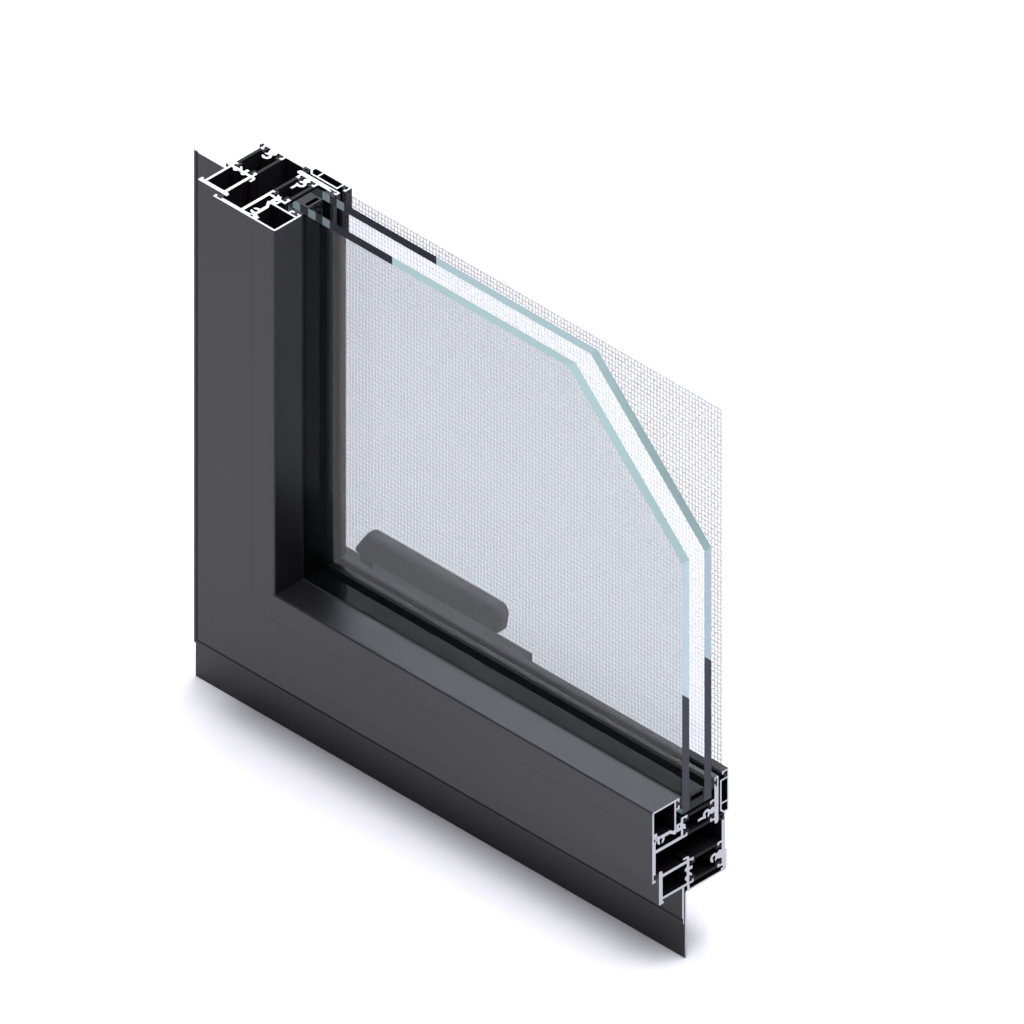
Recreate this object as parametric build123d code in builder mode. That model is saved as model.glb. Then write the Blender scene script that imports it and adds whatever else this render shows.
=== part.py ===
"""Corner section of a thermally broken aluminium projected window.

A jamb and a sill meet in a mitred corner and end in straight cuts, so their
sections show. Both carry the same set of extrusions: an exterior and an
interior half of the frame, the same of the sash, joined by plastic strips,
and a snap-in glazing bead. Sealed double glazing, an insect screen and a
crank operator complete it, and a bent flashing hangs below the sill.

Every section is drawn once. Its first coordinate runs from the exterior face
of the sash into the room. Its second runs outward from the sight line, which
is where the bead ends and the glass begins, towards the wall. All sizes are
in millimetres. The origin is the middle of the flat rear face of the
flashing's hanging leg; X runs along the sill, Y into the room and Z up.
"""

import os

from build123d import *

os.makedirs("parts", exist_ok=True)

# How far the two cut ends are from the corner of the sight lines
SILL_RUN = 334.0
JAMB_RUN = 278.5
GLASS_CORNER_CUT = 100.5

# Clearances: a piece pushed into a groove, and one that only lies against another
SLIP = 0.25
SEAT = 0.1

# Glazing, from the exterior
LITE = 6.3
CAVITY = 13.3
GLASS_BITE = 14.0
OUTER_GASKET = 2.3
INNER_GASKET = 2.7
GASKET_TOP = 0.4
GASKET_FOOT = 2.4
GASKET_BARB = 0.8
SPACER_TOP = 3.2
SPACER_HEIGHT = 5.8
SPACER_WALL = 1.3

# Glazing bead
BEAD_DEPTH = 20.9
BEAD_WALL = 1.4
BEAD_ROUND = 1.2
BEAD_SEAM = 19.6
BEAD_NIB = 2.4
BEAD_NIB_DEPTH = 4.0
BEAD_FLOOR = 20.8
BEAD_FLOOR_WALL = 2.6
BEAD_HEEL = 5.2
BEAD_HEEL_DROP = 1.8
BEAD_HEEL_HEIGHT = 3.0
BEAD_PORT = 7.5
GROOVE_DEPTH = 3.1
GROOVE_LIP = 1.4
GROOVE_TOP = 3.0
GROOVE_MOUTH = 2.6

# Sash extrusions
SASH_FACE = 2.8
SASH_SKIN = 1.4
SASH_KEY = 0.85
SASH_RAIL_EDGE = 54.5
SASH_FOOT = 1.8
SASH_FOOT_SKIN = 1.1
SASH_GROOVE = 4.1
SASH_WEB_TOP = 30.0
SASH_WEB = 2.4
SASH_POST = 25.3
SASH_POST_WALL = 1.9
SASH_POCKET = 16.3
SASH_SHELF = 5.8
SASH_SHELF_DROP = 3.3
SHELF_BORE = 0.8
SASH_LEG = 3.5
SASH_LEG_START = 7.6
SASH_LEG_END = 35.8
SASH_THIN_WALL = 1.2
SASH_SIGHT = 0.3
SASH_GROOVE_LIP = 1.1
SASH_PORT = 6.9
SASH_PORT_DROP = 8.0

# Frame extrusions
WEATHER_GAP = 3.1
FRAME_FACE = 3.1
FRAME_FACE_TOE = 3.3
FRAME_LIP_RISE = 3.0
FRAME_LIP_WALL = 1.6
FRAME_LIP_REACH = 5.4
FRAME_LIP_ROUND = 2.4
FRAME_FOOT = 74.0
FRAME_FOOT_DROP = 3.6
FRAME_BOX = 19.2
FRAME_WEB = 2.2
FRAME_LOWER_WEB = 1.8
FRAME_BOX_BACK = 32.6
SWELLING = 1.7
FIN_FRONT = 26.4
FIN = 1.6
FIN_EDGE = 98.5
FIN_TIP = 4.3
FIN_STEP = 0.8
FRAME_STANDOFF = 2.9
FRAME_WALL = 3.2
FRAME_REBATE = 36.0
FRAME_REBATE_WALL = 1.2
FRAME_NOTCH = 1.1
FRAME_NOTCH_HEIGHT = 1.5
FRAME_PORT = 6.8
FRAME_PORT_DROP = 10.0

# Plastic strips that join the exterior and interior halves, and the hooks that hold them
STRIP = 2.2
STRIP_HEAD = 1.8
STRIP_NECK = 1.2
HOOK_REACH = 3.8
HOOK_WALL = 1.6
HOOK = 1.6
HOOK_DROP = 2.6

# Bulb of the frame's weatherstrip
BULB_SHARE = 0.85
BULB_RISE = 3.2
BULB_WALL = 0.9

# Screw ports
PORT_BORE = 1.3
PORT_WALL = 2.0
PORT_MOUTH = 1.7

# Insect screen
SCREEN_STANDOFF = 1.5
SCREEN_DEPTH = 7.6
SCREEN_WALL = 1.2
SCREEN_EDGE = 30.9
SCREEN_CHAMFER = 2.9
SCREEN_DIVIDER = 22.4
SCREEN_NOSE = 1.0
SPLINE_GROOVE = 4.7
SPLINE_LIP = 1.6
SPLINE_RADIUS = 1.4
MESH = 0.3
MESH_STANDOFF = 1.7
MESH_TUCK = 1.4

# Sill flashing
FLASHING = 1.2
FLASHING_GAP = 0.8
FLASHING_EDGE = 125.3
FLASHING_BEND = 1.0
FLASHING_UPTURN = 15.0

# Crank operator
OPERATOR_LEFT = 28.0
OPERATOR_RIGHT = 137.0
OPERATOR_DEPTH = 33.5
OPERATOR_TOP = 21.6
OPERATOR_FACE = 16.5
OPERATOR_SLOPE_DEPTH = 12.0
OPERATOR_BOTTOM = 57.5
OPERATOR_WALL = 2.2
OPERATOR_ROUND = 3.0
OPERATOR_CLEARANCE = 2.0
HANDLE_LENGTH = 133.7
HANDLE_RIGHT = 120.4
HANDLE_HEIGHT = 21.5
HANDLE_DEPTH = 9.0
HANDLE_LIFT = 8.1
HANDLE_INSET = 3.0
HANDLE_SLANT = 14.2
HANDLE_TOE_RISE = 2.5
HANDLE_TOE_RUN = 8.0
HANDLE_END_SLANT = 3.5
HANDLE_CORNER = 6.0
HANDLE_TOE_ROUND = 1.0
HANDLE_NOSE = 7.0
HANDLE_ROUND = 2.8
HANDLE_ROOF = 3.0
HUB_RADIUS = 4.5
HUB_HEIGHT = 2.0
TONGUE = 3.4
TONGUE_RADIUS = 4.0
PIN_RADIUS = 2.0
PIN_INSET = 9.3
PIN_RISE = 7.5
PIN_END_WALL = 1.2
PIN_CLEARANCE = 0.05
PIN_SIDE = 0.3
TURN_ROOM = 4.0

# Depths worked out from the sizes above
LIP_BACK = BEAD_DEPTH + GROOVE_DEPTH
LITE_1 = LIP_BACK + OUTER_GASKET
LITE_2 = LITE_1 + LITE + CAVITY
GLASS_BACK = LITE_2 + LITE
SASH_INNER = GLASS_BACK + INNER_GASKET
SASH_BACK = SASH_INNER + SASH_LEG
FRAME_FRONT = SASH_FACE + WEATHER_GAP
FRAME_INNER = SASH_BACK + FRAME_STANDOFF
FRAME_BACK = FRAME_INNER + FRAME_WALL
SCREEN_FRONT = SASH_BACK + SCREEN_STANDOFF
SCREEN_BACK = SCREEN_FRONT + SCREEN_DEPTH
FIN_BACK = FIN_FRONT + FIN
LEG_FRONT = FIN_BACK + FLASHING_GAP
LEG_BACK = LEG_FRONT + FLASHING

# Distances from the sight line worked out in the same way
GROOVE_BOTTOM = GROOVE_TOP + GROOVE_MOUTH
SASH_LIP = SASH_RAIL_EDGE - SASH_FOOT - SASH_GROOVE
SASH_WEB_BOTTOM = SASH_WEB_TOP + SASH_WEB
FRAME_BOX_BOTTOM = FRAME_FOOT - FRAME_FOOT_DROP
FRAME_BOX_TOP = FRAME_BOX_BOTTOM - FRAME_BOX
FRAME_LIP = FRAME_BOX_TOP - FRAME_LIP_RISE

# Where the corner of the sight lines stands in the part's own frame
LEG_TOP = FRAME_FOOT + FLASHING + FLASHING_BEND
CORNER_X = (FIN_EDGE - SILL_RUN) / 2
CORNER_Y = -LEG_BACK
CORNER_Z = (LEG_TOP + FLASHING_EDGE) / 2
CORNER = (CORNER_X, CORNER_Y, CORNER_Z)

# Sections stand on the cut ends and run down into the corner
SILL_END = Plane(origin=(CORNER_X + SILL_RUN, CORNER_Y, CORNER_Z), x_dir=(0, 1, 0), z_dir=(-1, 0, 0))
JAMB_END = Plane(origin=(CORNER_X, CORNER_Y, CORNER_Z + JAMB_RUN), x_dir=(0, 1, 0), z_dir=(0, 0, 1))
MITRE = Plane(origin=CORNER, x_dir=(0, 1, 0), z_dir=(-1, 0, 1))
OVERRUN = FIN_EDGE + 1


def wall(y0, out0, y1, out1, mode=Mode.ADD):
    """A straight wall of a section, between two opposite corners."""
    with Locations(((y0 + y1) / 2, (out0 + out1) / 2)):
        Rectangle(abs(y1 - y0), abs(out1 - out0), mode=mode)


def slanted(*corners):
    """A slanted stretch of a section, by its corners."""
    Polygon(*corners, align=None)


def screw_port(y, out):
    """A round port that an assembly screw cuts into, open on its outward side."""
    with Locations((y, out)):
        Circle(PORT_BORE + PORT_WALL)
        Circle(PORT_BORE, mode=Mode.SUBTRACT)
    with Locations((y, out + PORT_BORE + PORT_WALL / 2)):
        Rectangle(PORT_MOUTH, PORT_WALL + PORT_BORE, mode=Mode.SUBTRACT)


def hook(root, out, into_room, outward):
    """One hook that is crimped over a strip's head: an arm from a wall, turned at its end."""
    tip = root + HOOK_REACH * (1 if into_room else -1)
    bend = tip - HOOK * (1 if into_room else -1)
    turn = 1 if outward else -1
    wall(root, out, tip, out + turn * HOOK_WALL)
    wall(bend, out, tip, out + turn * HOOK_DROP)


def strip_section(y0, y1, out, outward):
    """A crimped-in plastic strip: its heads turn away from the line of its outer face."""
    turn = 1 if outward else -1
    level = out + turn * (HOOK_DROP + SLIP)
    bottom = level + turn * STRIP_HEAD
    wall(y0 + SLIP, out, y1 - SLIP, out + turn * STRIP)
    for edge, into_room in ((y0 + SLIP, True), (y1 - SLIP, False)):
        side = 1 if into_room else -1
        wall(edge, out, edge + side * STRIP_NECK, bottom)
        wall(edge - side * (HOOK_REACH - SLIP), level, edge + side * STRIP_NECK, bottom)


def bead_section():
    """Hollow glazing bead with a gasket groove facing the glass and a snap-in heel."""
    inner = BEAD_DEPTH - BEAD_WALL
    lip_front = LIP_BACK - GROOVE_LIP
    lip_bottom = GROOVE_BOTTOM + 2 * GROOVE_LIP
    floor_bottom = BEAD_FLOOR + BEAD_FLOOR_WALL
    heel_top = BEAD_FLOOR + BEAD_HEEL_DROP
    heel_start = BEAD_DEPTH - BEAD_HEEL
    with BuildSketch(mode=Mode.PRIVATE) as chamber:
        wall(0, 0, BEAD_DEPTH, BEAD_SEAM)
        fillet(chamber.vertices().group_by(Axis.X)[0].sort_by(Axis.Y)[0], radius=BEAD_ROUND)
        wall(BEAD_WALL, BEAD_WALL, inner, BEAD_SEAM, Mode.SUBTRACT)
    add(chamber.sketch)
    wall(inner, BEAD_SEAM, BEAD_DEPTH, heel_top)
    wall(inner, 0, LIP_BACK, BEAD_WALL)
    wall(lip_front, 0, LIP_BACK, GROOVE_TOP)
    wall(lip_front, GROOVE_BOTTOM, LIP_BACK, lip_bottom)
    wall(inner, GROOVE_BOTTOM + GROOVE_LIP, LIP_BACK, lip_bottom)
    wall(0, BEAD_SEAM - BEAD_NIB, BEAD_NIB_DEPTH, BEAD_SEAM)
    slanted(
        (BEAD_NIB_DEPTH - SLIP, BEAD_SEAM - BEAD_NIB / 2),
        (BEAD_NIB_DEPTH, BEAD_SEAM - BEAD_NIB / 2),
        (BEAD_NIB_DEPTH + BEAD_WALL, BEAD_FLOOR + SLIP),
        (BEAD_NIB_DEPTH - SLIP, BEAD_FLOOR + SLIP),
    )
    slanted(
        (BEAD_NIB_DEPTH - SLIP, BEAD_FLOOR),
        (heel_start, BEAD_FLOOR),
        (inner - BEAD_WALL, heel_top),
        (BEAD_DEPTH, heel_top),
        (BEAD_DEPTH, heel_top + BEAD_HEEL_HEIGHT),
        (BEAD_DEPTH - BEAD_WALL / 2, floor_bottom + BEAD_HEEL_HEIGHT),
        (heel_start, floor_bottom),
        (BEAD_NIB_DEPTH - SLIP, floor_bottom),
    )
    screw_port(BEAD_PORT, BEAD_FLOOR + PORT_BORE + PORT_WALL)


def sash_exterior_section():
    """Exterior half of the sash: face plate, web, and the shelf and post beside the glass."""
    post_back = SASH_POST + SASH_POST_WALL
    plate_top = BEAD_FLOOR + BEAD_FLOOR_WALL
    key_back = BEAD_NIB_DEPTH - 2 * SLIP
    shelf_top = SASH_POCKET + SASH_SHELF_DROP
    shelf_bottom = shelf_top + SASH_SHELF
    knurl = SASH_POCKET + SASH_SHELF
    cell_top = BEAD_SEAM + SEAT + SASH_SKIN
    wall(0, BEAD_SEAM + SEAT, key_back, plate_top)
    wall(SASH_SKIN, cell_top, key_back - SASH_KEY, plate_top, Mode.SUBTRACT)
    wall(0, plate_top, SASH_FACE, SASH_LIP)
    slanted(
        (0, plate_top),
        (key_back, plate_top),
        (SASH_FACE, plate_top + SASH_FACE),
        (0, plate_top + SASH_FACE),
    )
    wall(0, SASH_LIP - SASH_SKIN, SASH_FOOT_SKIN, SASH_RAIL_EDGE)
    wall(0, SASH_RAIL_EDGE - SASH_FOOT, SASH_FACE, SASH_RAIL_EDGE)
    wall(0, SASH_WEB_TOP, post_back, SASH_WEB_BOTTOM)
    wall(SASH_POST, SASH_POCKET, post_back, SASH_WEB_BOTTOM)
    wall(BEAD_DEPTH + SLIP, shelf_top, SASH_POST, shelf_bottom)
    with Locations((SASH_POST - SASH_SKIN, shelf_top + SASH_WEB)):
        Circle(SHELF_BORE, mode=Mode.SUBTRACT)
    hook(post_back, SASH_POCKET, True, True)
    hook(post_back, SASH_WEB_BOTTOM, True, False)
    slanted(
        (post_back - 0.5, knurl - 0.7),
        (post_back + 2.4, knurl + 1.1),
        (post_back + 1.7, knurl + 2.1),
        (post_back + 2.7, knurl + 3.9),
        (post_back + 2.2, knurl + 4.5),
        (post_back - 0.5, knurl + 2.8),
    )


def sash_interior_section():
    """Interior half of the sash: room-side wall, gasket groove and screw port."""
    thin = SASH_BACK - SASH_THIN_WALL
    leg_middle = (SASH_INNER + SASH_BACK) / 2
    leg_round = SASH_LEG_END - SASH_LEG / 2
    port_out = SASH_POCKET + SASH_PORT_DROP
    port_rim = PORT_BORE + PORT_WALL
    wall(SASH_INNER, SASH_LEG_START, SASH_BACK, leg_round)
    with Locations((leg_middle, leg_round)):
        Circle(SASH_LEG / 2)
    wall(thin, SASH_SIGHT, SASH_BACK, SASH_LEG_START)
    wall(SASH_INNER, SASH_SIGHT, SASH_BACK, SASH_SIGHT + SASH_THIN_WALL)
    wall(SASH_INNER, SASH_SIGHT, SASH_INNER + SASH_GROOVE_LIP, GROOVE_TOP)
    wall(SASH_INNER, GROOVE_BOTTOM, SASH_INNER + SASH_GROOVE_LIP, SASH_LEG_START)
    hook(SASH_INNER, SASH_POCKET, False, True)
    hook(SASH_INNER, SASH_WEB_BOTTOM, False, False)
    slanted(
        (SASH_INNER - 2.0, port_out - 2.8),
        (SASH_INNER, port_out - 1.6),
        (SASH_INNER, port_out + 1.6),
        (SASH_INNER - 2.0, port_out + 2.5),
        (SASH_INNER - 4.6, port_out + 1.0),
        (SASH_INNER - 4.6, port_out - 0.8),
    )
    wall(
        SASH_INNER - SASH_PORT - 2.3 * port_rim,
        port_out + 0.6,
        SASH_INNER - SASH_PORT - PORT_BORE - SLIP,
        port_out + 2.4,
    )
    screw_port(SASH_INNER - SASH_PORT, port_out)


def frame_exterior_section():
    """Exterior half of the frame: hollow box, face plate, rebate lip and stepped nailing fin."""
    face_back = FRAME_FRONT + FRAME_FACE
    face_end = FRAME_BOX_BOTTOM + FRAME_FACE_TOE
    box_wall = FRAME_BOX_BACK - FRAME_WEB
    step = FIN_EDGE - FIN_TIP
    slanted(
        (FRAME_FRONT, FRAME_LIP),
        (face_back - FRAME_FACE / 3, FRAME_LIP),
        (face_back, FRAME_LIP + FRAME_FACE / 2),
        (face_back, face_end),
        (FRAME_FRONT, face_end),
    )
    wall(FRAME_FRONT, face_end - FRAME_LIP_WALL, face_back + 1.0, face_end)
    wall(FRAME_FRONT, FRAME_BOX_TOP, FRAME_BOX_BACK, FRAME_BOX_TOP + FRAME_WEB)
    wall(FRAME_FRONT, FRAME_BOX_BOTTOM - FRAME_LOWER_WEB, FRAME_BOX_BACK, FRAME_BOX_BOTTOM)
    wall(box_wall, FRAME_BOX_TOP, FRAME_BOX_BACK, FRAME_BOX_BOTTOM)
    with Locations((box_wall, FRAME_BOX_TOP + 6.9), (box_wall, FRAME_BOX_BOTTOM - 5.6)):
        Circle(SWELLING)
    with BuildSketch(mode=Mode.PRIVATE) as lip:
        wall(FRAME_BOX_BACK - FRAME_LIP_REACH, FRAME_LIP, FRAME_BOX_BACK, FRAME_BOX_TOP)
        fillet(lip.vertices().group_by(Axis.X)[-1].sort_by(Axis.Y)[0], radius=FRAME_LIP_ROUND)
        wall(
            FRAME_BOX_BACK - FRAME_LIP_REACH,
            FRAME_LIP + FRAME_LIP_WALL,
            box_wall,
            FRAME_BOX_TOP,
            Mode.SUBTRACT,
        )
    add(lip.sketch)
    hook(FRAME_BOX_BACK, FRAME_BOX_TOP, True, True)
    hook(FRAME_BOX_BACK, FRAME_BOX_BOTTOM, True, False)
    wall(FRAME_BOX_BACK, FRAME_BOX_TOP + 6.0, FRAME_BOX_BACK + 2.8, FRAME_BOX_TOP + 8.4)
    slanted(
        (FRAME_BOX_BACK - 0.5, FRAME_BOX_BOTTOM - 10.0),
        (FRAME_BOX_BACK + 2.7, FRAME_BOX_BOTTOM - 6.6),
        (FRAME_BOX_BACK + 2.0, FRAME_BOX_BOTTOM - 5.4),
        (FRAME_BOX_BACK - 0.5, FRAME_BOX_BOTTOM - 7.4),
    )
    slanted(
        (box_wall, FRAME_BOX_BOTTOM - 1.0),
        (FRAME_BOX_BACK, FRAME_BOX_BOTTOM - 1.0),
        (FRAME_BOX_BACK + 0.4, FRAME_FOOT),
        (LEG_BACK + FLASHING_BEND, FRAME_FOOT),
    )
    wall(FIN_FRONT, FRAME_BOX_BOTTOM - 1.0, FIN_BACK, step)
    wall(FIN_FRONT + FIN_STEP, step, FIN_BACK, FIN_EDGE)


def frame_interior_section():
    """Interior half of the frame: room-side wall with a rebate for the weatherstrip."""
    eased = FLASHING_BEND + SLIP
    port_out = FRAME_BOX_TOP + FRAME_PORT_DROP
    notch_bottom = FRAME_FOOT - FRAME_LIP_WALL
    slanted(
        (FRAME_INNER, FRAME_REBATE),
        (FRAME_BACK, FRAME_REBATE),
        (FRAME_BACK, FRAME_FOOT - eased),
        (FRAME_BACK - eased, FRAME_FOOT),
        (FRAME_INNER, FRAME_FOOT),
    )
    wall(
        FRAME_INNER,
        notch_bottom - FRAME_NOTCH_HEIGHT,
        FRAME_INNER + FRAME_NOTCH,
        notch_bottom,
        Mode.SUBTRACT,
    )
    wall(FRAME_INNER - 0.7, notch_bottom, FRAME_INNER, FRAME_FOOT)
    wall(FRAME_BACK - FRAME_REBATE_WALL, SCREEN_EDGE + SEAT, FRAME_BACK, FRAME_REBATE)
    hook(FRAME_INNER, FRAME_BOX_TOP, False, True)
    hook(FRAME_INNER, FRAME_BOX_BOTTOM, False, False)
    slanted(
        (FRAME_INNER - 2.6, port_out - 3.8),
        (FRAME_INNER, port_out - 3.0),
        (FRAME_INNER, port_out + 3.2),
        (FRAME_INNER - 2.6, port_out + 2.6),
        (FRAME_INNER - 5.0, port_out + 1.4),
        (FRAME_INNER - 4.6, port_out - 1.4),
    )
    screw_port(FRAME_INNER - FRAME_PORT, port_out)


def sash_upper_strip():
    post_back = SASH_POST + SASH_POST_WALL
    strip_section(post_back + HOOK_REACH, SASH_INNER - HOOK_REACH, SASH_POCKET, True)


def sash_lower_strip():
    post_back = SASH_POST + SASH_POST_WALL
    strip_section(post_back + HOOK_REACH, SASH_INNER - HOOK_REACH, SASH_WEB_BOTTOM, False)


def frame_upper_strip():
    strip_section(FRAME_BOX_BACK + HOOK_REACH, FRAME_INNER - HOOK_REACH, FRAME_BOX_TOP, True)


def frame_lower_strip():
    strip_section(FRAME_BOX_BACK + HOOK_REACH, FRAME_INNER - HOOK_REACH, FRAME_BOX_BOTTOM, False)


def outer_gasket_section():
    """Push-in gasket between the bead and the exterior pane."""
    mouth_top = GROOVE_TOP + SLIP
    mouth_bottom = GROOVE_BOTTOM - SLIP
    barb_back = LIP_BACK - GROOVE_LIP - SLIP
    wall(barb_back - GASKET_BARB, mouth_top - GASKET_BARB, barb_back, mouth_bottom + GASKET_BARB)
    wall(barb_back, mouth_top, LIP_BACK + SEAT, mouth_bottom)
    wall(LIP_BACK + SEAT, GASKET_TOP, LITE_1 - SEAT, GROOVE_BOTTOM + GASKET_FOOT)


def inner_gasket_section():
    """Push-in gasket between the interior pane and the sash."""
    mouth_top = GROOVE_TOP + SLIP
    mouth_bottom = GROOVE_BOTTOM - SLIP
    barb_front = SASH_INNER + SASH_GROOVE_LIP + SLIP
    barb_back = SASH_BACK - SASH_THIN_WALL - SLIP
    wall(barb_front, mouth_top - GASKET_BARB, barb_back, mouth_bottom + GASKET_BARB)
    wall(SASH_INNER - SEAT, mouth_top, barb_front, mouth_bottom)
    wall(GLASS_BACK + SEAT, GASKET_TOP, SASH_INNER - SEAT, GROOVE_BOTTOM + GASKET_FOOT)


def sash_weatherstrip_section():
    """Bulb in the groove at the edge of the sash, pressed against the frame's face."""
    top = SASH_LIP + SLIP
    bottom = SASH_RAIL_EDGE - SASH_FOOT - SLIP
    wall(SASH_FOOT_SKIN + SLIP, top, SASH_FACE + 2 * SLIP, bottom)
    with Locations(((SASH_FACE + FRAME_FRONT) / 2, (top + bottom) / 2)):
        SlotOverall(bottom - top, FRAME_FRONT - SASH_FACE - 2 * SEAT, rotation=90)


def frame_weatherstrip_section():
    """Hollow bulb in the frame's rebate, pressed against the back of the sash."""
    radius = (FRAME_STANDOFF - SEAT - SLIP) * BULB_SHARE
    middle = SASH_BACK + SEAT + radius
    bulb_out = FRAME_REBATE - BULB_RISE
    wall(middle - BULB_WALL / 2, bulb_out, FRAME_BACK - FRAME_REBATE_WALL - SLIP, FRAME_REBATE - SEAT)
    with Locations((middle, bulb_out)):
        Circle(radius)
        Circle(radius - BULB_WALL, mode=Mode.SUBTRACT)


def screen_section():
    """Two-cell screen bar with a spline groove that faces the sash."""
    inner = SCREEN_FRONT + SCREEN_WALL
    back = SCREEN_BACK - SCREEN_WALL
    groove_lip = SCREEN_FRONT + MESH_STANDOFF
    slanted(
        (SCREEN_FRONT, SPLINE_GROOVE),
        (SCREEN_BACK, SPLINE_GROOVE),
        (SCREEN_BACK, SCREEN_EDGE),
        (SCREEN_FRONT + SCREEN_CHAMFER, SCREEN_EDGE),
        (SCREEN_FRONT, SCREEN_EDGE - SCREEN_CHAMFER),
    )
    wall(inner, SPLINE_GROOVE + SCREEN_WALL, back, SCREEN_DIVIDER, Mode.SUBTRACT)
    with BuildSketch(mode=Mode.PRIVATE) as cell:
        wall(inner, SCREEN_DIVIDER + SCREEN_WALL, back, SCREEN_EDGE - SCREEN_WALL)
        corner = cell.vertices().group_by(Axis.X)[0].sort_by(Axis.Y)[-1]
        chamfer(corner, length=SCREEN_CHAMFER - SCREEN_WALL / 2)
    add(cell.sketch, mode=Mode.SUBTRACT)
    wall(back, -SCREEN_NOSE, SCREEN_BACK, SPLINE_GROOVE)
    wall(groove_lip, -SCREEN_NOSE, SCREEN_BACK, SCREEN_WALL - SCREEN_NOSE)
    wall(groove_lip, -SCREEN_NOSE, groove_lip + SPLINE_LIP, SCREEN_WALL)


def spline_section():
    """Round cord that holds the mesh in the groove."""
    with Locations((SCREEN_BACK - SCREEN_WALL - SLIP - SPLINE_RADIUS, SPLINE_GROOVE - SPLINE_RADIUS - SLIP)):
        Circle(SPLINE_RADIUS)


def spacer_section():
    """Hollow metal bar between the panes."""
    front = LITE_1 + LITE + SEAT
    back = LITE_2 - SEAT
    bottom = SPACER_TOP + SPACER_HEIGHT
    wall(front, SPACER_TOP, back, bottom)
    wall(
        front + SPACER_WALL,
        SPACER_TOP + SPACER_WALL,
        back - SPACER_WALL,
        bottom - SPACER_WALL,
        Mode.SUBTRACT,
    )


def sealant_section():
    """Sealant that closes the edge of the double glazing behind the spacer."""
    wall(
        LITE_1 + LITE + SEAT,
        SPACER_TOP + SPACER_HEIGHT + SEAT,
        LITE_2 - SEAT,
        GLASS_BITE,
    )


# Each profile is made twice: cut at the top for the jamb, cut at the right for the sill
PROFILES = [
    ("frame_jamb_exterior", "frame_sill_exterior", frame_exterior_section),
    ("frame_jamb_interior", "frame_sill_interior", frame_interior_section),
    ("frame_jamb_strip_near_sash", "frame_sill_strip_near_sash", frame_upper_strip),
    ("frame_jamb_strip_near_wall", "frame_sill_strip_near_wall", frame_lower_strip),
    ("frame_jamb_weatherstrip", "frame_sill_weatherstrip", frame_weatherstrip_section),
    ("sash_stile_exterior", "sash_rail_exterior", sash_exterior_section),
    ("sash_stile_interior", "sash_rail_interior", sash_interior_section),
    ("sash_stile_strip_near_glass", "sash_rail_strip_near_glass", sash_upper_strip),
    ("sash_stile_strip_near_frame", "sash_rail_strip_near_frame", sash_lower_strip),
    ("sash_stile_weatherstrip", "sash_rail_weatherstrip", sash_weatherstrip_section),
    ("glazing_bead_stile", "glazing_bead_rail", bead_section),
    ("exterior_gasket_stile", "exterior_gasket_rail", outer_gasket_section),
    ("interior_gasket_stile", "interior_gasket_rail", inner_gasket_section),
    ("glass_spacer_stile", "glass_spacer_rail", spacer_section),
    ("edge_sealant_stile", "edge_sealant_rail", sealant_section),
    ("screen_stile", "screen_rail", screen_section),
    ("screen_spline_stile", "screen_spline_rail", spline_section),
]

for jamb_name, sill_name, section in PROFILES:
    with BuildPart() as upright:
        with BuildSketch(JAMB_END):
            section()
        extrude(amount=-(JAMB_RUN + OVERRUN))
        split(bisect_by=MITRE, keep=Keep.TOP)
    upright.part.label = jamb_name
    export_step(upright.part, f"parts/{jamb_name}.step")

    with BuildPart() as level:
        with BuildSketch(SILL_END):
            section()
        extrude(amount=SILL_RUN + OVERRUN)
        split(bisect_by=MITRE, keep=Keep.BOTTOM)
    level.part.label = sill_name
    export_step(level.part, f"parts/{sill_name}.step")

# The panes end on the same cuts as the profiles, with one corner cut off at an angle
for pane_name, pane_front in (("exterior_pane", LITE_1), ("interior_pane", LITE_2)):
    pane_plane = Plane(origin=(CORNER_X, CORNER_Y + pane_front, CORNER_Z), x_dir=(1, 0, 0), z_dir=(0, -1, 0))
    with BuildPart() as pane:
        with BuildSketch(pane_plane):
            with BuildLine():
                Polyline(
                    (-GLASS_BITE, -GLASS_BITE),
                    (SILL_RUN, -GLASS_BITE),
                    (SILL_RUN, JAMB_RUN - GLASS_CORNER_CUT),
                    (SILL_RUN - GLASS_CORNER_CUT, JAMB_RUN),
                    (-GLASS_BITE, JAMB_RUN),
                    close=True,
                )
            make_face()
        extrude(amount=-LITE)
    pane.part.label = pane_name
    export_step(pane.part, f"parts/{pane_name}.step")

# Mesh of the insect screen, a thin sheet from the spline groove to both cuts
MESH_FRONT = SCREEN_FRONT + MESH_STANDOFF - MESH
mesh_plane = Plane(origin=(CORNER_X, CORNER_Y + MESH_FRONT, CORNER_Z), x_dir=(1, 0, 0), z_dir=(0, -1, 0))
with BuildPart() as screen_mesh:
    with BuildSketch(mesh_plane):
        with Locations((-MESH_TUCK, -MESH_TUCK)):
            Rectangle(SILL_RUN + MESH_TUCK, JAMB_RUN + MESH_TUCK, align=(Align.MIN, Align.MIN))
    extrude(amount=-MESH)
screen_mesh.part.label = "screen_mesh"
export_step(screen_mesh.part, "parts/screen_mesh.step")

# Sill flashing, one sheet bent twice: hanging leg, pan under the frame, upturned back
with BuildPart() as sill_flashing:
    with BuildSketch(SILL_END):
        with BuildLine() as sheet:
            FilletPolyline(
                (LEG_FRONT + FLASHING / 2, FLASHING_EDGE),
                (LEG_FRONT + FLASHING / 2, FRAME_FOOT + FLASHING / 2),
                (FRAME_BACK + FLASHING / 2, FRAME_FOOT + FLASHING / 2),
                (FRAME_BACK + FLASHING / 2, FRAME_FOOT + FLASHING - FLASHING_UPTURN),
                radius=FLASHING_BEND + FLASHING / 2,
            )
        trace(line_width=FLASHING)
    extrude(amount=SILL_RUN + FIN_EDGE)
sill_flashing.part.label = "sill_flashing"
export_step(sill_flashing.part, "parts/sill_flashing.step")

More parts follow.
